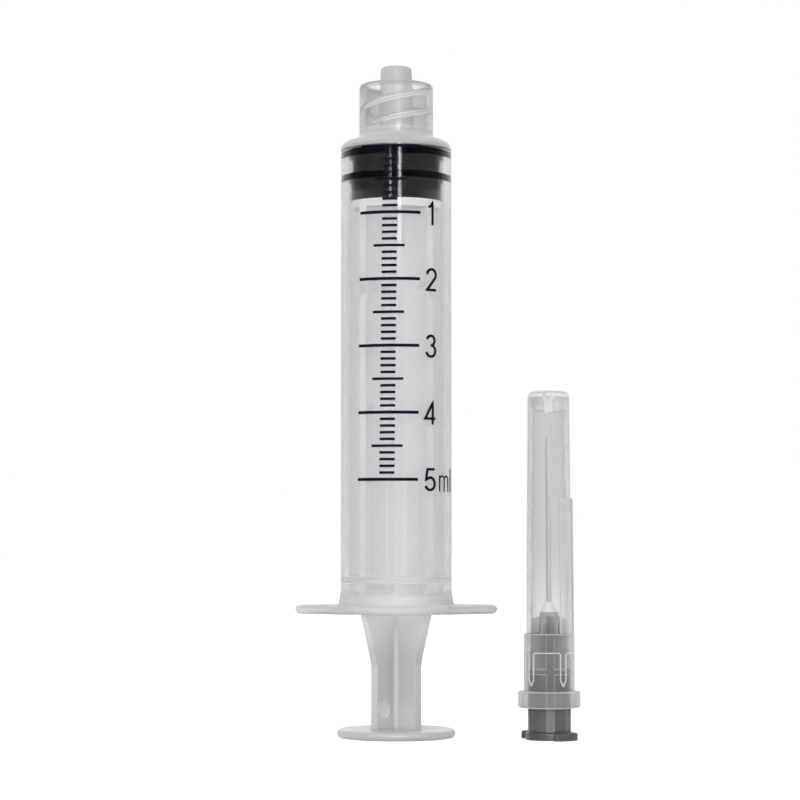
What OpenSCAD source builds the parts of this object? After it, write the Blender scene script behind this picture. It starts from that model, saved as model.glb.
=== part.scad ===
// A 5 ml lock-tip syringe standing on its thumb rest, with a capped needle standing beside it.
// Millimetres, +Z up along the syringe, origin at the middle of the thumb rest's underside.

/* [Barrel] */
// Inside diameter of the barrel, in which 42.1 mm of length holds 5 ml
bore_d = 12.3; // [11.9:0.1:12.9]
// Thickness of the barrel's wall
barrel_wall = 0.95; // [0.85:0.05:1.2]
// Length of the bore, from the rear face of the finger flange to its conical end
bore_len = 59.4; // [57:0.2:62]
// Rise of the conical end of the bore
bore_cone_h = 0.75; // [0.5:0.05:0.9]
// Thickness of the front wall, from the rim of the bore to the root of the lock collar
front_wall = 1.6; // [1.5:0.05:2]
// Slope of the outer shoulder, in degrees
shoulder_angle = 14; // [8:1:18]
// Radius of the rounded shoulder
shoulder_r = 1.1; // [0.7:0.1:1.3]
// Radius of the fillet between the shoulder and the lock collar
collar_fillet_r = 0.6; // [0.4:0.05:0.8]

/* [Tip and lock collar] */
// Outside diameter of the lock collar
collar_d = 9.5; // [9.3:0.1:9.8]
// Inside diameter of the lock collar at the root of its thread
collar_bore_d = 8; // [7.9:0.05:8.1]
// Length of the lock collar outside, above the shoulder
collar_len = 7; // [6.8:0.1:7.5]
// Depth of the space inside the lock collar
collar_depth = 6; // [5.8:0.1:6.2]
// Radius of the lock collar's rounded rim
collar_rim_r = 0.45; // [0.3:0.05:0.5]
// Diameter of the tip at its front end
tip_d = 4; // [3.95:0.01:4.05]
// Gain in diameter of the tip and of the hub socket for each unit of length
luer_taper_share = 0.06; // [0.05:0.01:0.07]
// Length of tip that stands out of the lock collar
tip_protrusion = 2.3; // [2.1:0.1:2.6]
// Diameter of the fluid hole through the tip
tip_hole_d = 2.1; // [1.8:0.1:2.5]
// Radius of the tip's rounded front edge
tip_rim_r = 0.45; // [0.3:0.05:0.5]

/* [Lock thread] */
// Advance of the two-start thread in one full turn
thread_lead = 5; // [4.5:0.5:5.5]
// Height of the thread ridge above the collar's inside wall
ridge_h = 0.5; // [0.4:0.05:0.6]
// Width of the thread ridge at its crest
ridge_crest_w = 0.45; // [0.35:0.05:0.6]
// Width of the thread ridge at the wall
ridge_root_w = 0.95; // [0.8:0.05:1.2]
// Distance of the thread's ends from the rim and from the floor of the collar
thread_margin = 0.6; // [0.5:0.05:0.8]
// Turn of the thread's first start, in degrees
thread_phase = 32; // [0:1:90]

/* [Finger flange] */
// Length of the finger flange from wing tip to wing tip
flange_len = 25.8; // [24.5:0.1:28]
// Thickness of the finger flange
flange_t = 1.2; // [1:0.05:1.4]
// Width of the flange beyond the barrel at its front and back
flange_lip = 0.8; // [0.6:0.05:1.2]
// Radius of the wings' rounded ends
wing_end_r = 2.8; // [2.4:0.1:3.2]
// Height of the small outward cone above the flange
flare_h = 1.8; // [1.4:0.1:2.4]
// Outward reach of that cone
flare_out = 0.3; // [0.2:0.05:0.5]
// Width of the bevel at the bore's open end
mouth_bevel = 0.4; // [0.2:0.05:0.5]
// Height of the ring in the bore that keeps the stopper in
keeper_h = 0.15; // [0.1:0.01:0.2]
// Radius of the keeper ring's round section
keeper_r = 0.4; // [0.3:0.05:0.5]
// Distance of the keeper ring from the flange's rear face
keeper_setback = 4.35; // [3.6:0.05:5]

/* [Graduation] */
// Length of the printed scale from the zero line to the last line
scale_len = 42.1; // [40:0.1:44]
// Millilitres on the scale
scale_millilitres = 5; // [4:1:5]
// Length of the line at each millilitre
long_line_len = 8.05; // [7.5:0.05:8.5]
// Length of the line at each half millilitre
medium_line_len = 4; // [3.6:0.1:4.4]
// Length of the line at each tenth of a millilitre
short_line_len = 1.92; // [1.7:0.02:2.2]
// How far the long line starts to the left of the front
long_line_left = 4.8; // [4.4:0.1:5.2]
// How far the medium line starts to the left of the front
medium_line_left = 2.78; // [2.5:0.02:3]
// How far the short line starts to the left of the front
short_line_left = 1.69; // [1.5:0.01:1.9]
// Width of the long lines
long_line_w = 0.38; // [0.3:0.02:0.44]
// Width of the other lines
short_line_w = 0.33; // [0.26:0.01:0.4]
// Sideways drift of the print to the left over the whole scale
print_drift = 0.45; // [0:0.05:0.6]
// Thickness of the ink
ink_t = 0.05; // [0.04:0.01:0.08]

/* [Stopper] */
// Length of the stopper from its seat to its front sealing edge
stopper_len = 6.55; // [6.3:0.05:7.2]
// Width of each sealing ring
seal_w = 1; // [0.8:0.05:1.2]
// Distance between the two sealing rings, edge to edge of the same side
seal_pitch = 3.05; // [2.7:0.05:3.4]
// Radius of a sealing ring's rounded edges
seal_edge_r = 0.2; // [0.1:0.02:0.3]
// Gap between the bore and the stopper's waist
waist_relief = 0.55; // [0.45:0.05:0.8]
// Gap between the bore and the stopper's skirt
skirt_relief = 0.4; // [0.3:0.05:0.6]
// Running gap between the bore and the sealing rings
seal_clearance = 0.03; // [0.02:0.005:0.05]
// Gap between the conical front of the stopper and the end of the bore
front_gap = 0.1; // [0.05:0.05:0.3]

/* [Plunger rod] */
// Length of the rod from the thumb rest's underside to the stopper's seat
rod_len = 68.4; // [66:0.2:72]
// Thickness of the rod's ribs
rib_t = 1.1; // [0.9:0.05:1.3]
// Gap between the bore and the outer edges of the ribs
rib_relief = 0.35; // [0.3:0.05:0.6]
// Width across the ribs at the waist below the flange
waist_w = 7.9; // [7:0.1:9]
// Height at which the ribs begin to widen
waist_top_z = 8.3; // [7:0.1:9]
// Radius of the curve between the waist and the widening
waist_blend_r = 8; // [6:0.5:10]
// Lean of the widening ribs from upright, in degrees
widening_angle = 17; // [14:1:22]
// Radius of the fillets where the ribs cross
web_fillet_r = 0.6; // [0.3:0.05:0.9]
// Thickness of the disc under the stopper
disc_t = 1; // [0.8:0.1:1.4]
// Distance of the notch in the ribs below the stopper's seat
notch_drop = 11.3; // [8:0.1:14]
// Depth of the notch and radius of its rounded sides
notch_r = 2; // [1.6:0.1:2.3]
// Height of the notch's floor
notch_floor_h = 0.3; // [0.2:0.05:0.6]
// Diameter of the thumb rest
thumb_d = 15.1; // [14:0.1:17]
// Thickness of the thumb rest
thumb_t = 1.1; // [0.9:0.05:1.4]
// Diameter of the round moulding mark near the foot of one rib
mark_d = 2.2; // [1.8:0.05:2.4]
// Depth of that mark
mark_depth = 0.12; // [0.08:0.02:0.2]
// Height of that mark's middle above the thumb rest's underside
mark_z = 3.6; // [3.2:0.1:5]

/* [Snap head] */
// Diameter of the neck between the rod and its snap head
snap_neck_d = 4.2; // [3.8:0.1:4.6]
// Length of that neck
snap_neck_len = 1.5; // [1.2:0.1:1.8]
// Diameter of the snap head inside the stopper
snap_head_d = 5.8; // [5.4:0.1:6.4]
// Height of the snap head's rim
snap_rim_h = 0.8; // [0.6:0.1:1]
// Height of the snap head's cone
snap_cone_h = 1.4; // [1.1:0.1:1.6]
// Diameter of the snap head's blunt end
snap_end_d = 3; // [2.6:0.1:3.4]
// Gap between the snap head and its pocket in the stopper
snap_clearance = 0.1; // [0.05:0.05:0.15]
// Gap between the rod's disc and the stopper
seat_gap = 0.05; // [0.03:0.01:0.1]

/* [Needle hub] */
// Diameter across the two locking lugs
lug_span = 7.8; // [7.7:0.05:7.9]
// Angle that each lug takes up, in degrees
lug_angle = 54; // [48:2:60]
// Turn of the front lug from +X towards the viewer, in degrees
lug_turn = 55; // [40:1:70]
// Diameter of the ring at the hub's foot between the lugs
foot_d = 6; // [5.9:0.05:6.3]
// Thickness of the foot and its lugs
foot_t = 1; // [0.8:0.05:1.2]
// Radius of the foot's and the lugs' rounded upper edge
foot_edge_r = 0.25; // [0.15:0.05:0.35]
// Diameter of the hub's lower body
hub_d = 5; // [4.95:0.05:5.1]
// Height of the step where the hub narrows
hub_step_z = 8.2; // [7.8:0.1:8.6]
// Height of the cone of that step
hub_step_h = 0.6; // [0.4:0.1:0.8]
// Diameter of the hub's upper body
hub_upper_d = 4.4; // [4.3:0.05:4.5]
// Height of the hub's shoulder
hub_shoulder_z = 13.2; // [12.8:0.1:13.4]
// Diameter of the hub's nose
nose_d = 2.4; // [2.2:0.1:2.6]
// Height of the nose's end
nose_z = 16; // [15.8:0.1:16.4]
// Width of the hub's four ribs
hub_rib_w = 0.9; // [0.7:0.05:1]
// Height of the ribs on the lower body
hub_rib_h = 0.2; // [0.15:0.01:0.25]
// Height of the ribs on the upper body
upper_rib_h = 0.13; // [0.1:0.01:0.16]
// Diameter across the fins beside the nose
fin_span = 4.5; // [4.2:0.05:4.55]
// Height of the fins' upper ends
fin_top_z = 15.5; // [15:0.1:15.7]
// Drop of the fins' sloping upper ends
fin_slope_h = 0.5; // [0.3:0.1:0.8]
// Diameter of the tapered socket at its mouth
socket_d = 4.27; // [4.25:0.01:4.3]
// Depth of the tapered socket
socket_depth = 8.5; // [8:0.1:8.8]

/* [Cannula] */
// Outside diameter of the steel tube
cannula_d = 0.7; // [0.6:0.05:0.8]
// Inside diameter of the steel tube
cannula_hole_d = 0.4; // [0.3:0.02:0.45]
// Length of tube from the nose to the point
cannula_out_len = 24.5; // [23:0.1:24.8]
// Length of tube held in the hub
cannula_held_len = 6.3; // [5:0.1:6.8]
// Slant of the ground point from the tube's axis, in degrees
bevel_angle = 14; // [11:1:18]
// Diameter of the adhesive at the nose
glue_d = 2.1; // [1.9:0.1:2.1]
// Diameter of the adhesive at its upper end
glue_end_d = 1; // [0.9:0.05:1.2]
// Height of the adhesive
glue_h = 1.3; // [1:0.1:1.6]

/* [Needle sheath] */
// Height of the sheath's open end
sheath_z = 4; // [3.6:0.1:4.4]
// Diameter of the sheath's foot collar
sheath_collar_d = 7.9; // [7.6:0.1:8.2]
// Height of the foot collar
sheath_collar_h = 2.1; // [1.8:0.1:2.4]
// Radius of the foot collar's rounded edges
sheath_collar_r = 0.3; // [0.2:0.05:0.4]
// Diameter of the sheath's wide base
sheath_base_d = 6.45; // [6.35:0.05:6.7]
// Height of the step at the top of the wide base
sheath_step_z = 13.3; // [12.9:0.1:13.8]
// Diameter of the tapered tube just above that step
sheath_tube_d = 5.83; // [5.75:0.02:6]
// Diameter of the tapered tube at its closed end
sheath_end_d = 5.25; // [5.1:0.05:5.4]
// Gap between the cannula's point and the inside of the closed end
point_gap = 2.6; // [2.2:0.1:3.4]
// Thickness of the closed end
sheath_cap_t = 0.8; // [0.6:0.1:1]
// Radius of the closed end's rounded edge
sheath_top_r = 0.8; // [0.5:0.1:1]
// Thickness of the tube's wall at the closed end
sheath_end_wall = 0.62; // [0.5:0.02:0.7]
// Height of the ledge inside, where the sheath narrows
ledge_z = 10.9; // [10.6:0.1:11.2]
// Gap between the sheath and the hub's ribs
sheath_clearance = 0.07; // [0.05:0.01:0.1]
// Width of the four splines inside
spline_w = 0.8; // [0.7:0.05:0.9]
// Length of the splines below the ledge, with their points
spline_len = 4.2; // [3.8:0.1:4.6]
// Length of the splines' points
spline_point_h = 0.8; // [0.6:0.1:1]
// Turn of the splines from the hub's ribs, in degrees
spline_turn = 35; // [30:1:45]
// Outward reach of the raised panel
panel_h = 0.28; // [0.2:0.02:0.35]
// Height of the raised panel's upper end
panel_top_z = 30.3; // [28:0.1:32]
// Start of the raised panel from the front, in degrees to the right
panel_start = 25; // [15:1:35]
// Angle that the raised panel takes up, in degrees
panel_angle = 70; // [60:2:90]
// Thickness of the three webs inside the closed end
web_t = 0.6; // [0.4:0.05:0.8]
// Depth of those webs below the cap
web_depth = 1.7; // [1.2:0.1:1.8]

/* [Standing places] */
// Distance of the needle's axis to the right of the syringe's axis
needle_x = 19.3; // [18:0.1:24]
// Distance of the needle's axis in front of the syringe's axis
needle_front = 3.6; // [0:0.1:6]

/* [Hidden] */
$fn = 96;
// Facets of the small round corners
corner_fn = 32;
// Facets round the finger flange
flange_fn = 48;
// Facets round the flange's half-round edge
edge_fn = 16;
// Facets along a thread ridge
ridge_fn = 28;
// Share of a thread ridge's length over which it fades at each end
fade_share = 0.11;
// Overrun of every cut past the face that it opens
over = 0.5;
// How deep a thread ridge or a spline is rooted in its wall
root_in = 0.1;
// Direction of the front of both pieces, in degrees from +X
front = -90;

// Radii of the barrel and its pieces
bore_r = bore_d / 2;
barrel_r = bore_r + barrel_wall;
collar_r = collar_d / 2;
collar_bore_r = collar_bore_d / 2;
tip_hole_r = tip_hole_d / 2;
rod_r = bore_r - rib_relief;
waist_r = waist_w / 2;
thumb_r = thumb_d / 2;

// Heights along the syringe, worked out from the thumb rest upwards
seal_front_z = rod_len + stopper_len;
bore_front_z = seal_front_z + front_gap;
flange_z = bore_front_z - bore_len;
flange_top_z = flange_z + flange_t;
shoulder_z = bore_front_z + front_wall;
rim_z = shoulder_z + collar_len;
collar_floor_z = rim_z - collar_depth;
tip_z = rim_z + tip_protrusion;

// Height of the sheath's closed end, clear of the cannula's point
sheath_top_z = nose_z + cannula_out_len + point_gap + sheath_cap_t;
// Inside radius of the sheath at its ledge, clear of the hub's upper ribs
ledge_r = hub_upper_d / 2 + upper_rib_h + sheath_clearance;
// Inside radius of the sheath's wide base, clear of the hub's lower ribs
base_bore_r = hub_d / 2 + hub_rib_h + sheath_clearance;

// Fall of the shoulder for each unit of radius, and the length of a unit normal to it
shoulder_fall = tan(shoulder_angle);
shoulder_norm = 1 / cos(shoulder_angle);
// Fall of the bore's conical end for each unit of radius
cone_fall = bore_cone_h / (bore_r - tip_hole_r);

function shoulder_at(r) = shoulder_z - shoulder_fall * (r - collar_r);
function tip_r_at(z) = tip_d / 2 + luer_taper_share * (tip_z - z) / 2;

// Half section of the barrel's outside, from the flange's rear face to the shoulder
module barrel_outline() {
    round_x = barrel_r - shoulder_r;
    round_z = shoulder_at(round_x) - shoulder_r * shoulder_norm;
    round_top = [round_x + shoulder_r * sin(shoulder_angle), round_z + shoulder_r * cos(shoulder_angle)];
    polygon([[0, flange_z], [barrel_r, flange_z], [barrel_r, round_z], [round_x, round_z], round_top,
             [collar_r, shoulder_z], [0, shoulder_z]]);
    translate([round_x, round_z]) circle(r = shoulder_r, $fn = corner_fn);
    polygon([[0, flange_z], [barrel_r + flare_out, flange_z], [barrel_r + flare_out, flange_top_z],
             [barrel_r, flange_top_z + flare_h], [0, flange_top_z + flare_h]]);
}

// Half section of the lock collar, rooted in the shoulder with a fillet
module collar_outline() {
    fillet_x = collar_r + collar_fillet_r;
    fillet_z = shoulder_at(fillet_x) + collar_fillet_r * shoulder_norm;
    fillet_foot = [fillet_x - collar_fillet_r * sin(shoulder_angle),
                   fillet_z - collar_fillet_r * cos(shoulder_angle)];
    square_top = rim_z - collar_rim_r;
    translate([0, shoulder_z - front_wall / 2]) square([collar_r, square_top - shoulder_z + front_wall / 2]);
    translate([0, shoulder_z]) square([collar_r - collar_rim_r, collar_len]);
    translate([collar_r - collar_rim_r, square_top]) circle(r = collar_rim_r, $fn = corner_fn);
    difference() {
        polygon([[collar_r - collar_fillet_r, shoulder_z - front_wall / 2], fillet_foot,
                 [collar_r, fillet_z], [collar_r - collar_fillet_r, fillet_z]]);
        translate([fillet_x, fillet_z]) circle(r = collar_fillet_r, $fn = corner_fn);
    }
}

// Half section of the space inside the lock collar, around the tip
module collar_space() {
    polygon([[0, collar_floor_z], [collar_bore_r, collar_floor_z],
             [collar_bore_r, rim_z + over], [0, rim_z + over]]);
}

// Half section of the tapered tip
module tip_outline() {
    root_z = collar_floor_z - (collar_floor_z - shoulder_z) / 2;
    edge_x = tip_r_at(tip_z) - tip_rim_r;
    edge_z = tip_z - tip_rim_r;
    polygon([[0, root_z], [tip_r_at(root_z), root_z], [tip_r_at(edge_z), edge_z], [0, edge_z]]);
    translate([0, root_z]) square([edge_x, tip_z - root_z]);
    translate([edge_x, edge_z]) circle(r = tip_rim_r, $fn = corner_fn);
}

// Half section of the bore with its conical end, the keeper ring left standing, and the fluid hole
module bore_outline() {
    difference() {
        polygon([[0, flange_z - over], [bore_r + mouth_bevel + over, flange_z - over],
                 [bore_r, flange_z + mouth_bevel], [bore_r, bore_front_z],
                 [tip_hole_r, bore_front_z + bore_cone_h], [tip_hole_r, tip_z + over], [0, tip_z + over]]);
        translate([bore_r - keeper_h + keeper_r, flange_z + keeper_setback])
            circle(r = keeper_r, $fn = corner_fn);
    }
}

// Flat disc with a half-round edge
module round_edged_disc(r) {
    translate([0, 0, flange_t / 2]) rotate_extrude($fn = flange_fn) {
        translate([0, -flange_t / 2]) square([r - flange_t / 2, flange_t]);
        translate([r - flange_t / 2, 0]) circle(r = flange_t / 2, $fn = edge_fn);
    }
}

// Finger flange: two wings drawn out from a middle disc, with a half-round edge all the way round
module flange() {
    hull() {
        round_edged_disc(barrel_r + flange_lip);
        for (side = [-1, 1])
            translate([side * (flange_len / 2 - wing_end_r), 0, 0]) round_edged_disc(wing_end_r);
    }
}

// One ring of points of a thread ridge, at an angle, a height and a reach from its root in the wall
function ridge_ring(a, z, reach) =
    [for (p = [[-ridge_root_w, 0], [-ridge_crest_w, reach], [ridge_crest_w, reach], [ridge_root_w, 0]])
        let (r = collar_bore_r + root_in - p[1]) [r * cos(a), r * sin(a), z + p[0] / 2]];

// Thread ridge swept up the inside of the lock collar, fading into the wall at both ends
module thread_ridge() {
    low_z = collar_floor_z + thread_margin;
    rise = rim_z - thread_margin - low_z;
    turn = 360 * rise / thread_lead;
    rings = [for (i = [0:ridge_fn])
        let (at = i / ridge_fn, full = min(1, at / fade_share, (1 - at) / fade_share))
        ridge_ring(turn * at, low_z + rise * at, root_in / 2 + (ridge_h + root_in / 2) * full)];
    corners = len(rings[0]);
    sides = [for (i = [0:ridge_fn - 1], c = [0:corners - 1])
        let (a = i * corners + c, b = i * corners + (c + 1) % corners)
        each [[a, a + corners, b], [b, a + corners, b + corners]]];
    low_end = [for (c = [0:corners - 1]) c];
    high_end = [for (c = [1:corners]) ridge_fn * corners + corners - c];
    polyhedron(points = [for (ring = rings) each ring], faces = concat(sides, [low_end, high_end]),
               convexity = 6);
}

// Barrel: tube, finger flange, shoulder, tip and threaded lock collar in one moulding
module barrel() {
    color("gainsboro") {
        difference() {
            union() {
                rotate_extrude() difference() {
                    union() {
                        barrel_outline();
                        collar_outline();
                    }
                    collar_space();
                }
                rotate_extrude() tip_outline();
                translate([0, 0, flange_z]) flange();
            }
            rotate_extrude() bore_outline();
        }
        for (start = [0, 180]) rotate([0, 0, thread_phase + start]) thread_ridge();
    }
}

// One printed line on the barrel, from its left end, with its middle at height z
module printed_line(left, len, width, z) {
    degrees_per_length = 180 / (PI * barrel_r);
    drift = print_drift * (seal_front_z - z) / scale_len;
    rotate_extrude(angle = len * degrees_per_length, start = front - (left + drift) * degrees_per_length)
        translate([barrel_r, z - width / 2]) square([ink_t, width]);
}

// Printed scale: long lines at each millilitre, medium at each half, short at each tenth
module graduation_marks() {
    per_millilitre = 10;
    divisions = scale_millilitres * per_millilitre;
    zero_z = seal_front_z - long_line_w / 2;
    color("midnightblue")
        for (i = [0:divisions]) {
            z = zero_z - scale_len * i / divisions;
            if (i % per_millilitre == 0) printed_line(long_line_left, long_line_len, long_line_w, z);
            else if (i % (per_millilitre / 2) == 0)
                printed_line(medium_line_left, medium_line_len, short_line_w, z);
            else printed_line(short_line_left, short_line_len, short_line_w, z);
        }
}

// Half section of a sealing ring with rounded edges, whose lower side is at height z
module seal_section(z) {
    seal_r = bore_r - seal_clearance;
    translate([0, z]) square([seal_r - seal_edge_r, seal_w]);
    translate([0, z + seal_edge_r]) square([seal_r, seal_w - 2 * seal_edge_r]);
    for (edge_z = [seal_edge_r, seal_w - seal_edge_r])
        translate([seal_r - seal_edge_r, z + edge_z]) circle(r = seal_edge_r, $fn = corner_fn);
}

// Half section of the pocket that the snap head fills
module pocket_section() {
    neck_r = snap_neck_d / 2 + snap_clearance;
    head_r = snap_head_d / 2 + snap_clearance;
    end_r = snap_end_d / 2 + snap_clearance;
    head_z = rod_len + snap_neck_len - snap_clearance;
    rim_top = rod_len + snap_neck_len + snap_rim_h;
    polygon([[0, rod_len - over], [neck_r, rod_len - over], [neck_r, head_z], [head_r, head_z],
             [head_r, rim_top], [end_r, rim_top + snap_cone_h + snap_clearance],
             [0, rim_top + snap_cone_h + snap_clearance]]);
}

// Rubber stopper with two sealing rings, a conical front and a pocket for the snap head
module stopper() {
    skirt_r = bore_r - skirt_relief;
    waist_z = seal_front_z - seal_pitch;
    cone_z = seal_front_z + cone_fall * (skirt_r - tip_hole_r);
    color([0.12, 0.12, 0.13])
        rotate_extrude() difference() {
            union() {
                translate([0, rod_len]) square([skirt_r, stopper_len - seal_pitch]);
                translate([0, waist_z]) square([bore_r - waist_relief, seal_pitch - seal_w]);
                seal_section(seal_front_z - seal_w);
                seal_section(seal_front_z - seal_pitch - seal_w);
                polygon([[0, seal_front_z - seal_w / 2], [skirt_r, seal_front_z - seal_w / 2],
                         [skirt_r, seal_front_z], [tip_hole_r, cone_z], [0, cone_z]]);
            }
            pocket_section();
        }
}

// Outline of one pair of opposite ribs: waist, widening, notch and straight upper part
module rib_outline() {
    blend_x = waist_r + waist_blend_r * (1 - cos(widening_angle));
    blend_z = waist_top_z + waist_blend_r * sin(widening_angle);
    full_z = blend_z + (rod_r - blend_x) / tan(widening_angle);
    notch_z = rod_len - notch_drop;
    round_z = notch_r + notch_floor_h / 2;
    ribs_top = rod_len - seat_gap - disc_t / 2;
    for (side = [0, 1])
        mirror([side, 0]) difference() {
            polygon([[0, thumb_t / 2], [waist_r, thumb_t / 2], [waist_r, waist_top_z], [blend_x, blend_z],
                     [rod_r, full_z], [rod_r, ribs_top], [0, ribs_top]]);
            translate([waist_r + waist_blend_r, waist_top_z]) circle(r = waist_blend_r);
            difference() {
                translate([rod_r - notch_r, notch_z - round_z]) square([notch_r + over, 2 * round_z]);
                for (end = [-1, 1])
                    translate([rod_r - notch_r, notch_z + end * round_z]) circle(r = notch_r);
            }
        }
}

// Filleted core where the ribs cross
module rib_core() {
    core_w = rib_t + 2 * web_fillet_r;
    difference() {
        square([core_w, core_w], center = true);
        for (x = [-1, 1], y = [-1, 1])
            translate([x * core_w / 2, y * core_w / 2]) circle(r = web_fillet_r, $fn = corner_fn);
    }
}

// Plunger rod: thumb rest, four crossed ribs, disc and snap head in one moulding
module plunger_rod() {
    disc_top = rod_len - seat_gap;
    neck_top = rod_len + snap_neck_len;
    rim_top = neck_top + snap_rim_h;
    mark_reach = waist_r - mark_d / 2 - mark_depth;
    color("whitesmoke")
        difference() {
            union() {
                rotate_extrude() {
                    square([thumb_r - thumb_t / 2, thumb_t]);
                    translate([thumb_r - thumb_t / 2, thumb_t / 2]) intersection() {
                        circle(r = thumb_t / 2, $fn = corner_fn);
                        translate([0, -thumb_t / 2]) square([thumb_t / 2, thumb_t]);
                    }
                }
                for (turn = [45, 135])
                    rotate([0, 0, turn]) rotate([90, 0, 0])
                        translate([0, 0, -rib_t / 2]) linear_extrude(height = rib_t) rib_outline();
                rotate([0, 0, 45]) translate([0, 0, thumb_t / 2])
                    linear_extrude(height = disc_top - disc_t / 2 - thumb_t / 2) rib_core();
                rotate_extrude() {
                    translate([0, disc_top - disc_t]) square([rod_r, disc_t]);
                    polygon([[0, disc_top - disc_t], [snap_neck_d / 2, disc_top - disc_t],
                             [snap_neck_d / 2, neck_top], [snap_head_d / 2, neck_top],
                             [snap_head_d / 2, rim_top], [snap_end_d / 2, rim_top + snap_cone_h],
                             [0, rim_top + snap_cone_h]]);
                }
            }
            rotate([0, 0, 45]) translate([-mark_reach, -rib_t / 2 + mark_depth, mark_z])
                rotate([90, 0, 0]) cylinder(h = mark_depth + over, d = mark_d);
        }
}

// Sets a piece at the needle's standing place
module at_needle() {
    translate([needle_x, -needle_front, 0]) children();
}

// Half section of a flat round step with a rounded upper edge
module foot_section(r) {
    square([r - foot_edge_r, foot_t]);
    square([r, foot_t - foot_edge_r]);
    translate([r - foot_edge_r, foot_t - foot_edge_r]) circle(r = foot_edge_r, $fn = corner_fn);
}

// Outline of one pair of opposite hub ribs with the fins beside the nose
module hub_rib_outline() {
    low_r = hub_d / 2 + hub_rib_h;
    high_r = hub_upper_d / 2 + upper_rib_h;
    fin_r = fin_span / 2;
    half = [[0, foot_t / 2], [low_r, foot_t / 2], [low_r, hub_step_z], [high_r, hub_step_z + hub_step_h],
            [high_r, hub_shoulder_z], [fin_r, hub_shoulder_z], [fin_r, fin_top_z - fin_slope_h],
            [nose_d / 2, fin_top_z], [0, fin_top_z]];
    for (side = [0, 1]) mirror([side, 0]) polygon(half);
}

// Needle hub: foot with two lugs, ribbed body, nose and tapered socket
module needle_hub() {
    nose_r = nose_d / 2;
    socket_end_r = (socket_d - luer_taper_share * socket_depth) / 2;
    socket_out_r = (socket_d + luer_taper_share * over) / 2;
    color([0.3, 0.31, 0.32])
        at_needle() difference() {
            union() {
                rotate_extrude() foot_section(foot_d / 2);
                for (side = [0, 180])
                    rotate_extrude(angle = lug_angle, start = side - lug_turn - lug_angle / 2)
                        foot_section(lug_span / 2);
                rotate_extrude()
                    polygon([[0, foot_t / 2], [hub_d / 2, foot_t / 2], [hub_d / 2, hub_step_z],
                             [hub_upper_d / 2, hub_step_z + hub_step_h], [hub_upper_d / 2, hub_shoulder_z],
                             [nose_r, hub_shoulder_z], [nose_r, nose_z], [0, nose_z]]);
                for (turn = [0, 90])
                    rotate([90, 0, turn]) translate([0, 0, -hub_rib_w / 2])
                        linear_extrude(height = hub_rib_w) hub_rib_outline();
            }
            rotate_extrude()
                polygon([[0, -over], [socket_out_r, -over], [socket_end_r, socket_depth], [0, socket_depth]]);
            cylinder(h = nose_z + over, d = cannula_d);
        }
}

// Steel cannula: a thin tube with a slanted ground point
module cannula() {
    low_z = nose_z - cannula_held_len;
    tip_end = nose_z + cannula_out_len;
    bevel_h = cannula_d / tan(bevel_angle);
    color("silver")
        at_needle() difference() {
            translate([0, 0, low_z]) cylinder(h = tip_end - low_z, d = cannula_d);
            translate([0, 0, low_z - over]) cylinder(h = tip_end - low_z + 2 * over, d = cannula_hole_d);
            translate([0, cannula_d, 0]) rotate([90, 0, 0]) linear_extrude(height = 2 * cannula_d)
                polygon([[-cannula_d / 2, tip_end - bevel_h], [cannula_d / 2, tip_end],
                         [cannula_d / 2, tip_end + over], [-cannula_d, tip_end + over],
                         [-cannula_d, tip_end - bevel_h]]);
        }
}

// Adhesive that holds the cannula in the nose
module needle_adhesive() {
    color("white")
        at_needle() translate([0, 0, nose_z]) difference() {
            cylinder(h = glue_h, d1 = glue_d, d2 = glue_end_d);
            translate([0, 0, -over]) cylinder(h = glue_h + 2 * over, d = cannula_d);
        }
}

// Outside radius of the sheath's tapered tube at height z
function tube_r_at(z) =
    let (rise_share = (z - sheath_step_z) / (sheath_top_z - sheath_step_z))
    (sheath_tube_d - (sheath_tube_d - sheath_end_d) * rise_share) / 2;

// Half section of the sheath's outside
module sheath_outline() {
    foot_collar_r = sheath_collar_d / 2;
    round_z = sheath_top_z - sheath_top_r;
    round_x = tube_r_at(round_z) - sheath_top_r;
    translate([0, sheath_z + sheath_collar_r])
        square([foot_collar_r, sheath_collar_h - 2 * sheath_collar_r]);
    translate([0, sheath_z]) square([foot_collar_r - sheath_collar_r, sheath_collar_h]);
    for (z = [sheath_z + sheath_collar_r, sheath_z + sheath_collar_h - sheath_collar_r])
        translate([foot_collar_r - sheath_collar_r, z]) circle(r = sheath_collar_r, $fn = corner_fn);
    translate([0, sheath_z + sheath_collar_r])
        square([sheath_base_d / 2, sheath_step_z - sheath_z - sheath_collar_r]);
    polygon([[0, sheath_z + sheath_collar_r], [tube_r_at(sheath_step_z), sheath_z + sheath_collar_r],
             [tube_r_at(sheath_step_z), sheath_step_z], [tube_r_at(round_z), round_z], [round_x, round_z],
             [round_x, sheath_top_z], [0, sheath_top_z]]);
    translate([round_x, round_z]) circle(r = sheath_top_r, $fn = corner_fn);
}

// Half section of the sheath's inside
module sheath_space() {
    cap_z = sheath_top_z - sheath_cap_t;
    end_r = sheath_end_d / 2 - sheath_end_wall;
    polygon([[0, sheath_z - over], [base_bore_r, sheath_z - over], [base_bore_r, ledge_z],
             [ledge_r, ledge_z], [end_r, cap_z], [0, cap_z]]);
}

// One spline with a pointed lower end, on the sheath's inside wall at the front
module spline() {
    spline_r = hub_d / 2 + sheath_clearance;
    point_z = ledge_z - spline_len;
    side_z = point_z + spline_point_h;
    translate([0, -spline_r, 0]) rotate([90, 0, 0])
        linear_extrude(height = base_bore_r + root_in - spline_r)
            polygon([[-spline_w / 2, ledge_z + root_in], [-spline_w / 2, side_z], [0, point_z],
                     [spline_w / 2, side_z], [spline_w / 2, ledge_z + root_in]]);
}

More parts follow.
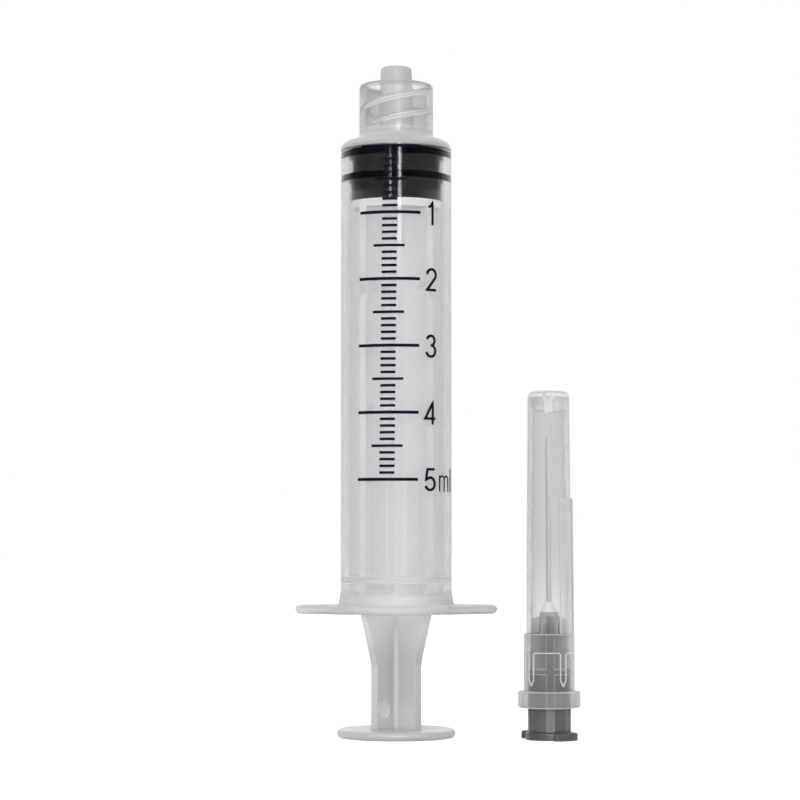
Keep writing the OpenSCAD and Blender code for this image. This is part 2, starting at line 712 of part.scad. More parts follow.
// Half section of the raised panel on the tapered tube
module panel_section() {
    foot_z = sheath_step_z - root_in;
    step_r = tube_r_at(sheath_step_z);
    top_r = tube_r_at(panel_top_z);
    polygon([[step_r - root_in, foot_z], [step_r + panel_h, foot_z], [step_r + panel_h, sheath_step_z],
             [top_r + panel_h, panel_top_z], [top_r - root_in, panel_top_z]]);
}

// Needle sheath: foot collar, wide base, tapered closed tube, panel, splines and end webs
module needle_sheath() {
    cap_z = sheath_top_z - sheath_cap_t;
    web_reach = tube_r_at(cap_z) - sheath_end_wall / 2;
    color("lightgray")
        at_needle() {
            difference() {
                union() {
                    rotate_extrude() sheath_outline();
                    rotate_extrude(angle = panel_angle, start = front + panel_start) panel_section();
                }
                rotate_extrude() sheath_space();
            }
            for (turn = [0:90:270]) rotate([0, 0, spline_turn + turn]) spline();
            for (turn = [0:120:240])
                rotate([0, 0, front + turn]) translate([0, -web_t / 2, cap_z - web_depth])
                    cube([web_reach, web_t, web_depth + sheath_cap_t / 2]);
        }
}

barrel();
graduation_marks();
stopper();
plunger_rod();
needle_hub();
cannula();
needle_adhesive();
needle_sheath();
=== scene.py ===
"""Looks of a 5 ml lock-tip syringe and its capped needle, in metres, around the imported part."""

import logging
import math
from dataclasses import dataclass, field
from enum import Enum
from typing import Any, Mapping, Sequence, Union

import bpy
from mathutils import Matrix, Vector


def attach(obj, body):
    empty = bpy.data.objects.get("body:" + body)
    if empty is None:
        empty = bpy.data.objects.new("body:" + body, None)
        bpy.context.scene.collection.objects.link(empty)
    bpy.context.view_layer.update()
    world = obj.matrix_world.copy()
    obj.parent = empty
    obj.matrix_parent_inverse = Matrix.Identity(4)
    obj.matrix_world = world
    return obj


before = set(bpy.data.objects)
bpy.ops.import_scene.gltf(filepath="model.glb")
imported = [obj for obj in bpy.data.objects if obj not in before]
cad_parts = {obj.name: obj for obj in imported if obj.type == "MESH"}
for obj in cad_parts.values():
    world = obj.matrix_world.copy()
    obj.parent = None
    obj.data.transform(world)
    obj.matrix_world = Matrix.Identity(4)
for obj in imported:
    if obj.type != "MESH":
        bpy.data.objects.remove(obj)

LOG = logging.getLogger("syringe")
MM = 0.001
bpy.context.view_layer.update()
Colour = tuple[float, float, float]
Point = tuple[float, float]
NEEDLE_AXIS: Point = (19.3, -3.6)  # where the needle stands, in millimetres
ALL_HEIGHTS: Point = (-2.0, -1.0)  # a rise below the floor, so that the high colour holds everywhere
SMOOTH_ANGLE = math.radians(40)
BLACK: Colour = (0.0, 0.0, 0.0)
WHITE: Colour = (1.0, 1.0, 1.0)


class Body(Enum):
    """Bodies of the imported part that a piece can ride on."""

    BARREL = "barrel"
    STOPPER = "stopper"
    PLUNGER = "plunger"
    NEEDLE = "needle"
    SHEATH = "sheath"


class Slot(Enum):
    """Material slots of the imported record."""

    BARREL = "barrel_plastic"
    INK = "ink"
    RUBBER = "stopper_rubber"
    PLUNGER = "plunger_plastic"
    HUB = "hub_plastic"
    STEEL = "steel"
    ADHESIVE = "adhesive"
    SHEATH = "sheath_plastic"


# ---------------------------------------------------------------- shader workbench


class Signal:
    """A shader socket whose sums, differences and products add Math nodes."""

    def __init__(self, bench: "ShaderBench", socket: bpy.types.NodeSocket) -> None:
        """Wraps a socket.

        Args:
            bench: the material's workbench that the new nodes go to.
            socket: the output that carries the value.
        """
        self.bench = bench
        self.socket = socket

    def _math(self, operation: str, first: Any, second: Any) -> "Signal":
        """Adds a Math node on two values or signals and returns its result."""
        return self.bench.node("ShaderNodeMath", {"operation": operation}, {0: first, 1: second})

    def __add__(self, other: Any) -> "Signal":
        """This signal plus another."""
        return self._math("ADD", self, other)

    def __radd__(self, other: Any) -> "Signal":
        """A number plus this signal."""
        return self._math("ADD", other, self)

    def __sub__(self, other: Any) -> "Signal":
        """This signal less another."""
        return self._math("SUBTRACT", self, other)

    def __rsub__(self, other: Any) -> "Signal":
        """A number less this signal."""
        return self._math("SUBTRACT", other, self)

    def __mul__(self, other: Any) -> "Signal":
        """This signal times another."""
        return self._math("MULTIPLY", self, other)

    def __rmul__(self, other: Any) -> "Signal":
        """A number times this signal."""
        return self._math("MULTIPLY", other, self)

    def at_least(self, other: Any) -> "Signal":
        """The larger of this signal and another."""
        return self._math("MAXIMUM", self, other)

    def at_most(self, other: Any) -> "Signal":
        """The smaller of this signal and another."""
        return self._math("MINIMUM", self, other)


Value = Union[Signal, float, Sequence[float]]


@dataclass(frozen=True)
class Waves:
    """Scale of a noise: waves for each millimetre, octaves, and its scale along each axis."""

    each_mm: float
    detail: float = 3.0
    stretch: Colour = (1.0, 1.0, 1.0)


@dataclass(frozen=True)
class Relief:
    """A bump's depth in millimetres and how much of it shows."""

    depth: float
    strength: float


@dataclass(frozen=True)
class Spread:
    """A value that grows with a signal from 0 to 1: where it starts and how much it gains."""

    low: float
    gain: float

    def along(self, signal: Signal) -> Signal:
        """The value at a signal."""
        return self.low + self.gain * signal


@dataclass(frozen=True)
class Glass:
    """How light passes a clear wall."""

    ior: float
    roughness: Spread
    shine: float


class ShaderBench:
    """Node tree of one material or world, with one method that adds any node."""

    def __init__(self, name: str, owner: Any = None) -> None:
        """Starts an empty tree.

        Args:
            name: the material's name.
            owner: a world to work on, or None for a new material.
        """
        self.owner = owner or bpy.data.materials.new(name)
        self.owner.use_nodes = True
        self.tree = self.owner.node_tree
        self.tree.nodes.clear()

    def node(self, kind: str, settings: Mapping[str, Any] | None = None,
             inputs: Mapping[Any, Value] | None = None, output: Any = 0) -> Signal:
        """Adds one node.

        Args:
            kind: the node's type.
            settings: properties set before its sockets; "stops" holds a ramp's places and colours.
            inputs: values or signals by socket.
            output: the socket that is returned.

        Returns:
            The signal of that output.
        """
        made = self.tree.nodes.new(kind)
        for key, value in (settings or {}).items():
            if key == "stops":
                self._set_stops(made.color_ramp, value)
            else:
                setattr(made, key, value)
        for key, value in (inputs or {}).items():
            if isinstance(value, Signal):
                self.tree.links.new(value.socket, made.inputs[key])
            else:
                made.inputs[key].default_value = value
        return Signal(self, made.outputs[output])

    @staticmethod
    def _set_stops(ramp: bpy.types.ColorRamp, stops: Sequence[tuple[float, float]]) -> None:
        """Sets a ramp's places and their grey levels.

        Args:
            ramp: the ramp.
            stops: each place with its grey level.
        """
        while len(ramp.elements) < len(stops):
            ramp.elements.new(1.0)
        for element, (place, level) in zip(ramp.elements, stops):
            element.position = place
            element.color = (level, level, level, 1.0)

    def place(self) -> Signal:
        """Object coordinates, which are the part's own place, in metres."""
        return self.node("ShaderNodeTexCoord", output="Object")

    def height(self) -> Signal:
        """Height over the floor, in millimetres."""
        return self.node("ShaderNodeSeparateXYZ", inputs={0: self.place()}, output="Z") * (1 / MM)

    def reach(self, axis: Point) -> Signal:
        """Distance from an upright axis.

        Args:
            axis: the axis's place from the side and from the front, in millimetres.

        Returns:
            The distance in millimetres.
        """
        flat = self.node("ShaderNodeMapping", {"vector_type": "TEXTURE"},
                         {"Vector": self.place(), "Location": (axis[0] * MM, axis[1] * MM, 0.0)})
        across = self.node("ShaderNodeVectorMath", {"operation": "MULTIPLY"},
                           {0: flat, 1: (1.0, 1.0, 0.0)})
        length = self.node("ShaderNodeVectorMath", {"operation": "LENGTH"}, {0: across}, output="Value")
        return length * (1 / MM)

    def between(self, signal: Signal, none: float, full: float) -> Signal:
        """A smooth step of a signal.

        Args:
            signal: the signal.
            none: where the step is still 0.
            full: where it reaches 1, which may be the lower of the two.

        Returns:
            A signal from 0 to 1.
        """
        if full < none:
            return 1.0 - self.between(signal, full, none)
        return self.node("ShaderNodeMapRange", {"clamp": True, "interpolation_type": "SMOOTHSTEP"},
                         {"Value": signal, "From Min": none, "From Max": full})

    def noise(self, waves: Waves) -> Signal:
        """Noise that follows the part.

        Args:
            waves: its scale.

        Returns:
            A signal from 0 to 1.
        """
        placed = self.node("ShaderNodeMapping", inputs={"Vector": self.place(), "Scale": waves.stretch})
        return self.node("ShaderNodeTexNoise", inputs={
            "Vector": placed, "Scale": waves.each_mm / MM, "Detail": waves.detail})

    def bump(self, height: Signal, relief: Relief) -> Signal:
        """A bump from a height signal.

        Args:
            height: the signal, from 0 to 1.
            relief: the bump's depth and strength.

        Returns:
            The normal's signal.
        """
        return self.node("ShaderNodeBump", output="Normal", inputs={
            "Height": height, "Distance": relief.depth * MM, "Strength": relief.strength})

    def tinted(self, factor: Value, low: Colour | Signal, high: Colour) -> Signal:
        """A colour between two.

        Args:
            factor: 0 for the first colour, 1 for the second.
            low: the first colour.
            high: the second colour.

        Returns:
            The colour's signal.
        """
        start = low if isinstance(low, Signal) else (*low, 1.0)
        inputs = {0: factor, 6: start, 7: (*high, 1.0)}
        return self.node("ShaderNodeMix", {"data_type": "RGBA"}, inputs, output=2)

    def principled(self, **sockets: Value) -> Signal:
        """A Principled shader; underscores in a name stand for spaces."""
        inputs = {name.replace("_", " "): value for name, value in sockets.items()}
        return self.node("ShaderNodeBsdfPrincipled", inputs=inputs)

    def clear(self, glass: Glass, tint: Value, cloud: Signal, normal: Signal) -> Signal:
        """The shader of a clear wall.

        Args:
            glass: how light passes it.
            tint: its colour.
            cloud: the noise that its roughness follows.
            normal: its fine bump.

        Returns:
            The shader's signal.
        """
        return self.principled(Base_Color=tint, Roughness=glass.roughness.along(cloud), IOR=glass.ior,
                               Transmission_Weight=1.0, Normal=normal,
                               Specular_Tint=(glass.shine, glass.shine, glass.shine, 1.0))

    def mixed(self, factor: Value, first: Signal, second: Signal) -> Signal:
        """A mix of two shaders."""
        return self.node("ShaderNodeMixShader", inputs={0: factor, 1: first, 2: second})

    def finish(self, surface: Signal, volume: Signal | None = None) -> bpy.types.Material:
        """Joins the shader to the output.

        Args:
            surface: the surface shader.
            volume: the volume shader, if there is one.

        Returns:
            The finished material.
        """
        made = self.tree.nodes.new("ShaderNodeOutputMaterial")
        self.tree.links.new(surface.socket, made.inputs["Surface"])
        if volume is not None:
            self.tree.links.new(volume.socket, made.inputs["Volume"])
        return self.owner


# ---------------------------------------------------------------- finishes


@dataclass(frozen=True)
class Patch:
    """Where a finish changes, each stretch given by where the change is none and where it is full."""

    share: float
    height: Point | None = None
    top: Point | None = None
    reach: Point | None = None
    colour: Colour | None = None

    def mask(self, bench: ShaderBench, height: Signal, reach: Signal) -> Signal:
        """The patch's cover.

        Args:
            bench: the material's workbench.
            height: height over the floor, in millimetres.
            reach: distance from the axis, in millimetres.

        Returns:
            A signal from 0 to 1.
        """
        mask: Value = 1.0
        for signal, stretch in ((height, self.height), (height, self.top), (reach, self.reach)):
            if stretch:
                mask = bench.between(signal, *stretch) * mask
        return mask


@dataclass(frozen=True)
class ClearPlastic:
    """Moulded clear plastic, grey through its walls and milky where it is thick, with painted shade at
    its grazing edges.
    """

    name: str
    wall: Glass
    bore: Glass | None = None
    bore_reach: Point = (6.65, 6.6)
    head: Glass | None = None
    head_height: Point = (77.5, 78.5)
    axis: Point = (0.0, 0.0)
    tint: Colour = (0.795, 0.795, 0.799)
    head_tint: Colour = (0.685, 0.685, 0.689)
    milk: Colour = (0.884, 0.885, 0.887)
    clouds: float = 0.0002
    # rim: milkier at grazing angles, for the longer path through the wall; rim_colour: that milk painted
    # greyer there as edge shade
    rim: float = 0.5
    rim_colour: Colour = (0.48, 0.485, 0.49)
    streaks: float = 0.05
    patches: tuple[Patch, ...] = ()
    absorb: Colour = (0.512, 0.513, 0.519)
    density: float = 90.0
    cloud: Waves = Waves(0.26, 4.0, (1.0, 1.0, 0.25))
    streak: Waves = Waves(0.9, 2.0, (1.0, 1.0, 0.02))
    fine: Waves = Waves(2.6, 2.0)
    relief: Relief = Relief(0.004, 0.02)
    milk_roughness: Spread = Spread(0.4, 0.1)

    def material(self) -> bpy.types.Material:
        """Builds the material.

        Returns:
            The finished material.
        """
        bench = ShaderBench(self.name)
        height, reach = bench.height(), bench.reach(self.axis)
        cloud = bench.noise(self.cloud)
        normal = bench.bump(bench.noise(self.fine), self.relief)
        facing = bench.node("ShaderNodeLayerWeight", inputs={"Blend": 0.5}, output="Facing")
        in_head = bench.between(height, *self.head_height)
        tint = bench.tinted(in_head, self.tint, self.head_tint)
        streak = bench.noise(self.streak)
        tint = bench.tinted((streak - 0.5) * 2.0 * self.streaks, tint, WHITE)
        clear = bench.clear(self.wall, tint, cloud, normal)
        if self.bore:
            clear = bench.mixed(bench.between(reach, *self.bore_reach), clear,
                                bench.clear(self.bore, tint, cloud, normal))
        if self.head:
            clear = bench.mixed(in_head, clear, bench.clear(self.head, tint, cloud, normal))
        share: Value = self.clouds * (0.5 + cloud) + self.rim * facing * facing
        milk_colour = bench.tinted(cloud, tuple(0.97 * part for part in self.milk), self.milk)
        for patch in self.patches:
            mask = patch.mask(bench, height, reach)
            share = share + patch.share * mask
            if patch.colour:
                milk_colour = bench.tinted(mask, milk_colour, patch.colour)
        # painted edge shade: the milk turns grey where the wall is seen edge-on
        milk_colour = bench.tinted(facing * facing, milk_colour, self.rim_colour)
        milk = bench.principled(Base_Color=milk_colour, Roughness=self.milk_roughness.along(cloud),
                                Specular_IOR_Level=0.2, Normal=normal)
        volume = bench.node("ShaderNodeVolumeAbsorption",
                            inputs={"Color": (*self.absorb, 1.0), "Density": self.density})
        return bench.finish(bench.mixed(share.at_least(0.0).at_most(1.0), clear, milk), volume)


@dataclass(frozen=True)
class MilkyPlastic:
    """White translucent plastic, painted greyer towards its foot as shade, with lighter and darker
    patches of painted light and shade.
    """

    name: str
    # low and rise: painted shade, greyer towards the foot
    low: Colour = (0.555, 0.555, 0.557)
    high: Colour = (0.975, 0.975, 0.975)
    rise: Point = (8.5, 18.0)
    patches: tuple[Patch, ...] = ()
    through: float = 0.1
    cloud: Waves = Waves(0.18, 4.0, (1.0, 1.0, 0.3))
    cloudiness: float = 0.12
    fine: Waves = Waves(3.0, 2.0)
    relief: Relief = Relief(0.005, 0.4)
    roughness: Spread = Spread(0.34, 0.1)

    def material(self) -> bpy.types.Material:
        """Builds the material.

        Returns:
            The finished material.
        """
        bench = ShaderBench(self.name)
        height, reach = bench.height(), bench.reach((0.0, 0.0))
        cloud = bench.noise(self.cloud)
        # painted shade: greyer towards the foot
        rise = bench.between(height, *self.rise) + self.cloudiness * (cloud - 0.5)
        colour = bench.tinted(rise, self.low, self.high)
        for patch in self.patches:
            mask = patch.share * patch.mask(bench, height, reach)
            colour = bench.tinted(mask, colour, patch.colour or self.high)
        surface = bench.principled(Base_Color=colour, Roughness=self.roughness.along(cloud),
                                   Specular_IOR_Level=0.4, Transmission_Weight=self.through,
                                   Normal=bench.bump(bench.noise(self.fine), self.relief))
        return bench.finish(surface)


@dataclass(frozen=True)
class Rubber:
    """Black stopper rubber with a faint bloom."""

    name: str
    colour: Colour = (0.0015, 0.0015, 0.002)
    bloom: Colour = (0.005, 0.005, 0.006)
    shine: float = 0.03
    cloud: Waves = Waves(0.5, 5.0)
    fine: Waves = Waves(5.2)
    relief: Relief = Relief(0.008, 0.5)
    roughness: Spread = Spread(0.5, 0.2)

    def material(self) -> bpy.types.Material:
        """Builds the material.

        Returns:
            The finished material.
        """
        bench = ShaderBench(self.name)
        cloud = bench.noise(self.cloud)
        surface = bench.principled(Base_Color=bench.tinted(cloud, self.colour, self.bloom),
                                   Roughness=self.roughness.along(cloud), Specular_IOR_Level=self.shine,
                                   Normal=bench.bump(bench.noise(self.fine), self.relief))
        return bench.finish(surface)


@dataclass(frozen=True)
class PrintInk:
    """Dark printing ink with slightly uneven cover."""

    name: str
    colour: Colour = (0.002, 0.0025, 0.01)
    thin: Colour = (0.005, 0.006, 0.02)
    blotch: Waves = Waves(1.8, 4.0)
    relief: Relief = Relief(0.006, 0.4)
    roughness: Spread = Spread(0.5, 0.15)

    def material(self) -> bpy.types.Material:
        """Builds the material.

        Returns:
            The finished material.
        """
        bench = ShaderBench(self.name)
        blotch = bench.noise(self.blotch)
        surface = bench.principled(Base_Color=bench.tinted(blotch, self.colour, self.thin),
                                   Roughness=self.roughness.along(blotch), Specular_IOR_Level=0.02,
                                   Normal=bench.bump(blotch, self.relief))
        return bench.finish(surface)


@dataclass(frozen=True)
class SmokyPlastic:
    """Grey smoky plastic, darkest at its foot, with a painted sheen that lightens its sides, and clearer
    where it is thin.
    """

    name: str
    axis: Point = NEEDLE_AXIS
    colour: Colour = (0.075, 0.077, 0.08)
    light: Colour = (0.115, 0.118, 0.122)
    foot: Colour = (0.05, 0.051, 0.054)
    foot_height: Point = (1.3, 0.9)
    # sides: painted sheen, light grey where the hub is seen edge-on above its body
    sides: Colour = (0.7, 0.705, 0.71)
    sides_height: Point = (8.2, 9.0)
    nose: Colour = (0.6, 0.605, 0.61)
    nose_height: Point = (14.2, 15.0)
    clear: Colour = (0.6, 0.605, 0.61)
    thin: tuple[Patch, ...] = (Patch(0.8, height=(13.2, 13.5), reach=(1.25, 1.4)),
                               Patch(0.3, height=(14.4, 15.2), reach=(1.4, 1.25)))
    glass: Glass = Glass(1.25, Spread(0.12, 0.1), 0.3)
    cloud: Waves = Waves(0.42, 4.0)
    fine: Waves = Waves(4.2, 2.0)
    relief: Relief = Relief(0.005, 0.4)
    roughness: Spread = Spread(0.32, 0.12)

    def material(self) -> bpy.types.Material:
        """Builds the material.

        Returns:
            The finished material.
        """
        bench = ShaderBench(self.name)
        height, reach = bench.height(), bench.reach(self.axis)
        cloud = bench.noise(self.cloud)
        normal = bench.bump(bench.noise(self.fine), self.relief)
        facing = bench.node("ShaderNodeLayerWeight", inputs={"Blend": 0.75}, output="Facing")
        colour = bench.tinted(cloud, self.colour, self.light)
        # painted sheen on the sides seen edge-on
        colour = bench.tinted(facing * bench.between(height, *self.sides_height), colour, self.sides)
        colour = bench.tinted(bench.between(height, *self.nose_height), colour, self.nose)
        colour = bench.tinted(bench.between(height, *self.foot_height), colour, self.foot)
        solid = bench.principled(Base_Color=colour, Roughness=self.roughness.along(cloud),
                                 Specular_IOR_Level=0.45, Transmission_Weight=0.12, Normal=normal)
        clear = bench.clear(self.glass, (*self.clear, 1.0), cloud, normal)
        share: Value = 0.0
        for patch in self.thin:
            share = patch.share * patch.mask(bench, height, reach) + share
        return bench.finish(bench.mixed(share, solid, clear))


@dataclass(frozen=True)
class DrawnSteel:
    """Bright drawn steel with fine lines along the tube."""

    name: str
    colour: Colour = (0.6, 0.605, 0.61)
    lines: Waves = Waves(3.8, 2.0, (1.0, 1.0, 0.02))
    relief: Relief = Relief(0.002, 0.5)
    roughness: Spread = Spread(0.24, 0.16)

    def material(self) -> bpy.types.Material:
        """Builds the material.

        Returns:
            The finished material.
        """
        bench = ShaderBench(self.name)
        lines = bench.noise(self.lines)
        surface = bench.principled(Base_Color=(*self.colour, 1.0), Metallic=1.0,
                                   Roughness=self.roughness.along(lines),
                                   Normal=bench.bump(lines, self.relief))
        return bench.finish(surface)


@dataclass(frozen=True)
class SetResin:
    """White set resin, slightly uneven."""

    name: str
    colour: Colour = (0.98, 0.98, 0.98)
    hollow: Colour = (0.882, 0.882, 0.882)
    lumps: Waves = Waves(1.5)
    relief: Relief = Relief(0.03, 0.5)
    roughness: Spread = Spread(0.3, 0.15)

    def material(self) -> bpy.types.Material:
        """Builds the material.

        Returns:
            The finished material.
        """
        bench = ShaderBench(self.name)
        lumps = bench.noise(self.lumps)
        surface = bench.principled(Base_Color=bench.tinted(lumps, self.hollow, self.colour),
                                   Roughness=self.roughness.along(lumps),
                                   Normal=bench.bump(lumps, self.relief))
        return bench.finish(surface)


Finish = Union[ClearPlastic, MilkyPlastic, Rubber, PrintInk, SmokyPlastic, DrawnSteel, SetResin]


# ---------------------------------------------------------------- modelling tools


def deselect_all() -> None:
    """Leaves edit mode and deselects every object."""
    if bpy.context.object and bpy.context.object.mode != "OBJECT":
        bpy.ops.object.mode_set(mode="OBJECT")
    for thing in bpy.context.selected_objects:
        thing.select_set(False)


def dress(node: str, finish: Finish) -> None:
    """Gives a node of the part its finish.

    Args:
        node: the node's name.
        finish: the finish.
    """
    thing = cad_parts[node]
    thing.data.materials.clear()
    thing.data.materials.append(finish.material())
    LOG.info("dressed %s with %s", node, finish.name)


def round_edges(piece: bpy.types.Object, width: float) -> None:
    """Bevels a piece's sharp edges and smooths the rest.

    Args:
        piece: the piece, which is the active object.
        width: the bevel's width in millimetres.
    """
    edge = piece.modifiers.new("edge", "BEVEL")
    edge.width = width * MM
    edge.segments = 3
    edge.limit_method = "ANGLE"
    bpy.ops.object.modifier_apply(modifier=edge.name)
    bpy.ops.object.shade_smooth_by_angle(angle=SMOOTH_ANGLE)


def arc(centre: Point, radii: Point, start: float, end: float, steps: int = 14) -> list[Point]:
    """Points along part of an ellipse.

    Args:
        centre: its middle.
        radii: its half width and half height.
        start: first angle in degrees, anticlockwise from the right.
        end: last angle in degrees.
        steps: how many lengths it is divided into.

    Returns:
        The points.
    """
    angles = [math.radians(start + (end - start) * i / steps) for i in range(steps + 1)]
    return [(centre[0] + radii[0] * math.cos(a), centre[1] + radii[1] * math.sin(a)) for a in angles]


@dataclass(frozen=True)
class Figure:
    """A printed figure, drawn by pen strokes in shares of its height, with its foot at 0."""

    width: float
    strokes: tuple[tuple[Point, ...], ...]


FIGURES: dict[str, Figure] = {
    "1": Figure(0.3, (((0.13, 0.75), (0.25, 0.8), (0.345, 0.955), (0.345, 0.0)),)),
    "2": Figure(0.6, ((*arc((0.325, 0.7), (0.235, 0.235), 175, -32), (0.085, 0.06), (0.575, 0.06)),)),
    "3": Figure(0.6, (tuple(arc((0.31, 0.73), (0.205, 0.205), 165, -90)),
                      tuple(arc((0.315, 0.29), (0.245, 0.235), 90, -168, 18)))),
    "4": Figure(0.6, (((0.44, 0.0), (0.44, 0.93), (0.045, 0.25), (0.59, 0.25)),)),
    "5": Figure(0.6, (((0.56, 0.93), (0.19, 0.93), (0.12, 0.49),
                       *arc((0.33, 0.32), (0.25, 0.26), 135, -160, 18)),)),
    "m": Figure(0.82, (((0.03, 0.0), (0.03, 0.68)),
                       ((0.03, 0.42), *arc((0.2, 0.5), (0.17, 0.15), 160, 0, 8), (0.37, 0.0)),
                       ((0.37, 0.42), *arc((0.54, 0.5), (0.17, 0.15), 160, 0, 8), (0.71, 0.0)))),
    "l": Figure(0.1, (((0.18, 0.0), (0.18, 0.95)),)),
}


@dataclass(frozen=True)
class Pen:
    """Lays flat strips with a little thickness on an upright round wall, and joins them into pieces."""

    radius: float
    width: float
    proud: float
    sunk: float
    axis: Point = (0.0, 0.0)
    longest: float = 0.35

    def draw(self, name: str, strokes: Sequence[Sequence[Point]], ink: bpy.types.Material, body: Body,
             slot: Slot) -> None:
        """Models one piece from its strokes.

        Args:
            name: the piece's name.
            strokes: lines of points, as arc from the front and height, in millimetres.
            ink: its material.
            body: what it rides on.
            slot: not used.
        """
        ribbons = [self._ribbon(stroke) for stroke in strokes]
        deselect_all()
        for ribbon in ribbons:
            ribbon.select_set(True)
        bpy.context.view_layer.objects.active = ribbons[0]
        bpy.ops.object.join()
        piece = bpy.context.object
        piece.name = piece.data.name = name
        bpy.ops.object.mode_set(mode="EDIT")
        bpy.ops.mesh.select_all(action="SELECT")
        bpy.ops.mesh.normals_make_consistent(inside=False)
        bpy.ops.object.mode_set(mode="OBJECT")
        piece.data.materials.append(ink)
        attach(piece, body.value)
        LOG.info("%s: %d faces", name, len(piece.data.polygons))

    def _ribbon(self, stroke: Sequence[Point]) -> bpy.types.Object:
        """Lays a strip along a stroke, gives it its thickness and rolls it onto the wall.

        Args:
            stroke: a line of points.

        Returns:
            The strip.
        """
        points = self._divided(stroke)
        deselect_all()
        bpy.ops.mesh.primitive_grid_add(x_subdivisions=1, y_subdivisions=len(points) - 1,
                                        size=self.width * MM)
        ribbon = bpy.context.object
        for vertex, (x, z) in zip(ribbon.data.vertices, self._edges(points)):
            vertex.co = (x, z, 0.0)
        bpy.ops.object.mode_set(mode="EDIT")
        bpy.ops.mesh.select_all(action="SELECT")
        thickness = (0.0, 0.0, self.proud + self.sunk)
        bpy.ops.mesh.extrude_region_move(TRANSFORM_OT_translate={"value": thickness})
        bpy.ops.object.mode_set(mode="OBJECT")
        for vertex in ribbon.data.vertices:
            angle = vertex.co.x / self.radius
            reach = self.radius - self.sunk + vertex.co.z
            vertex.co = Vector((self.axis[0] + reach * math.sin(angle),
                                self.axis[1] - reach * math.cos(angle), vertex.co.y)) * MM
        return ribbon

    def _divided(self, stroke: Sequence[Point]) -> list[Vector]:
        """Divides a stroke, so that it can bend with the wall.

        Args:
            stroke: a line of points.

        Returns:
            Its points with more between them.
        """
        points = [Vector(stroke[0])]
        for place in stroke[1:]:
            begin, end = points[-1], Vector(place)
            parts = max(1, math.ceil((end - begin).length / self.longest))
            points += [begin.lerp(end, (i + 1) / parts) for i in range(parts)]
        return points

    def _edges(self, points: list[Vector]) -> list[Vector]:
        """The edges of a strip along some points, with mitred corners.

        Args:
            points: the strip's middle line.

        Returns:
            The left and the right point at each place.
        """
        edges = []
        for i, point in enumerate(points):
            before = (points[max(i, 1)] - points[max(i, 1) - 1]).normalized()
            last = min(i, len(points) - 2)
            after = (points[last + 1] - points[last]).normalized()
            side = Vector((-before.y - after.y, before.x + after.x)).normalized()
            reach = self.width / 2 / max(0.5, side.dot(Vector((-before.y, before.x))))
            edges += [point + side * reach, point - side * reach]
        return edges


@dataclass
class Numerals:
    """Numerals and the unit, printed on the barrel beside the long lines."""

    pen: Pen = Pen(radius=7.1, width=0.33, proud=0.05, sunk=0.03)
    fine_pen: Pen = Pen(radius=7.1, width=0.2, proud=0.05, sunk=0.03)
    height: float = 3.0
    start: float = 4.05
    unit_gap: float = 0.86
    drift: float = 0.45
    zero_z: float = 74.76
    scale_len: float = 42.1
    millilitres: int = 5
    finish: PrintInk = PrintInk("numeral_ink")

    def build(self) -> None:
        """Draws each numeral, and the unit beside the last one."""
        ink = self.finish.material()
        for number in range(1, self.millilitres + 1):
            share = number / self.millilitres
            corner = (self.start - self.drift * share,
                      self.zero_z - self.scale_len * share - self.height / 2)
            strokes = self._placed(str(number), corner)
            self.pen.draw(f"numeral_{number}", strokes, ink, Body.BARREL, Slot.INK)
        for letter, gap in (("m", self.unit_gap), ("l", self.unit_gap + FIGURES["m"].width)):
            strokes = self._placed(letter, (corner[0] + gap * self.height, corner[1]))
            self.fine_pen.draw(f"unit_{letter}", strokes, ink, Body.BARREL, Slot.INK)

    def _placed(self, name: str, corner: Point) -> list[list[Point]]:
        """A figure's strokes at its place on the barrel, in millimetres."""
        return [[(corner[0] + x * self.height, corner[1] + z * self.height) for x, z in stroke]
                for stroke in FIGURES[name].strokes]


@dataclass
class ThreadBeads:
    """Painted highlights: white strips along the fine rounded edges of the lock thread's two ridges,
    where they catch the light.
    """

    pen: Pen = Pen(radius=3.52, width=0.13, proud=0.05, sunk=0.06, longest=0.2)
    starts: Point = (32.0, 212.0)
    low_z: float = 78.25
    rise: float = 4.8
    lead: float = 5.0
    half: float = 0.22
    fade: float = 0.08
    finish: MilkyPlastic = MilkyPlastic("thread_edge_painted_highlight", high=WHITE, through=0.0)

    def build(self) -> None:
        """Draws the painted highlight along both edges of each ridge."""
        bright = self.finish.material()
        for index, start in enumerate(self.starts, start=1):
            climbs = [self.rise * share for share in (self.fade, 1.0 - self.fade)]
            ends = [(self.pen.radius * math.radians(start - 270.0 + 360.0 * climb / self.lead),
                     self.low_z + climb) for climb in climbs]
            edges = [[(arc_len, z + side * self.half) for arc_len, z in ends] for side in (-1, 1)]
            self.pen.draw(f"thread_painted_highlight_{index}", edges, bright, Body.BARREL, Slot.BARREL)


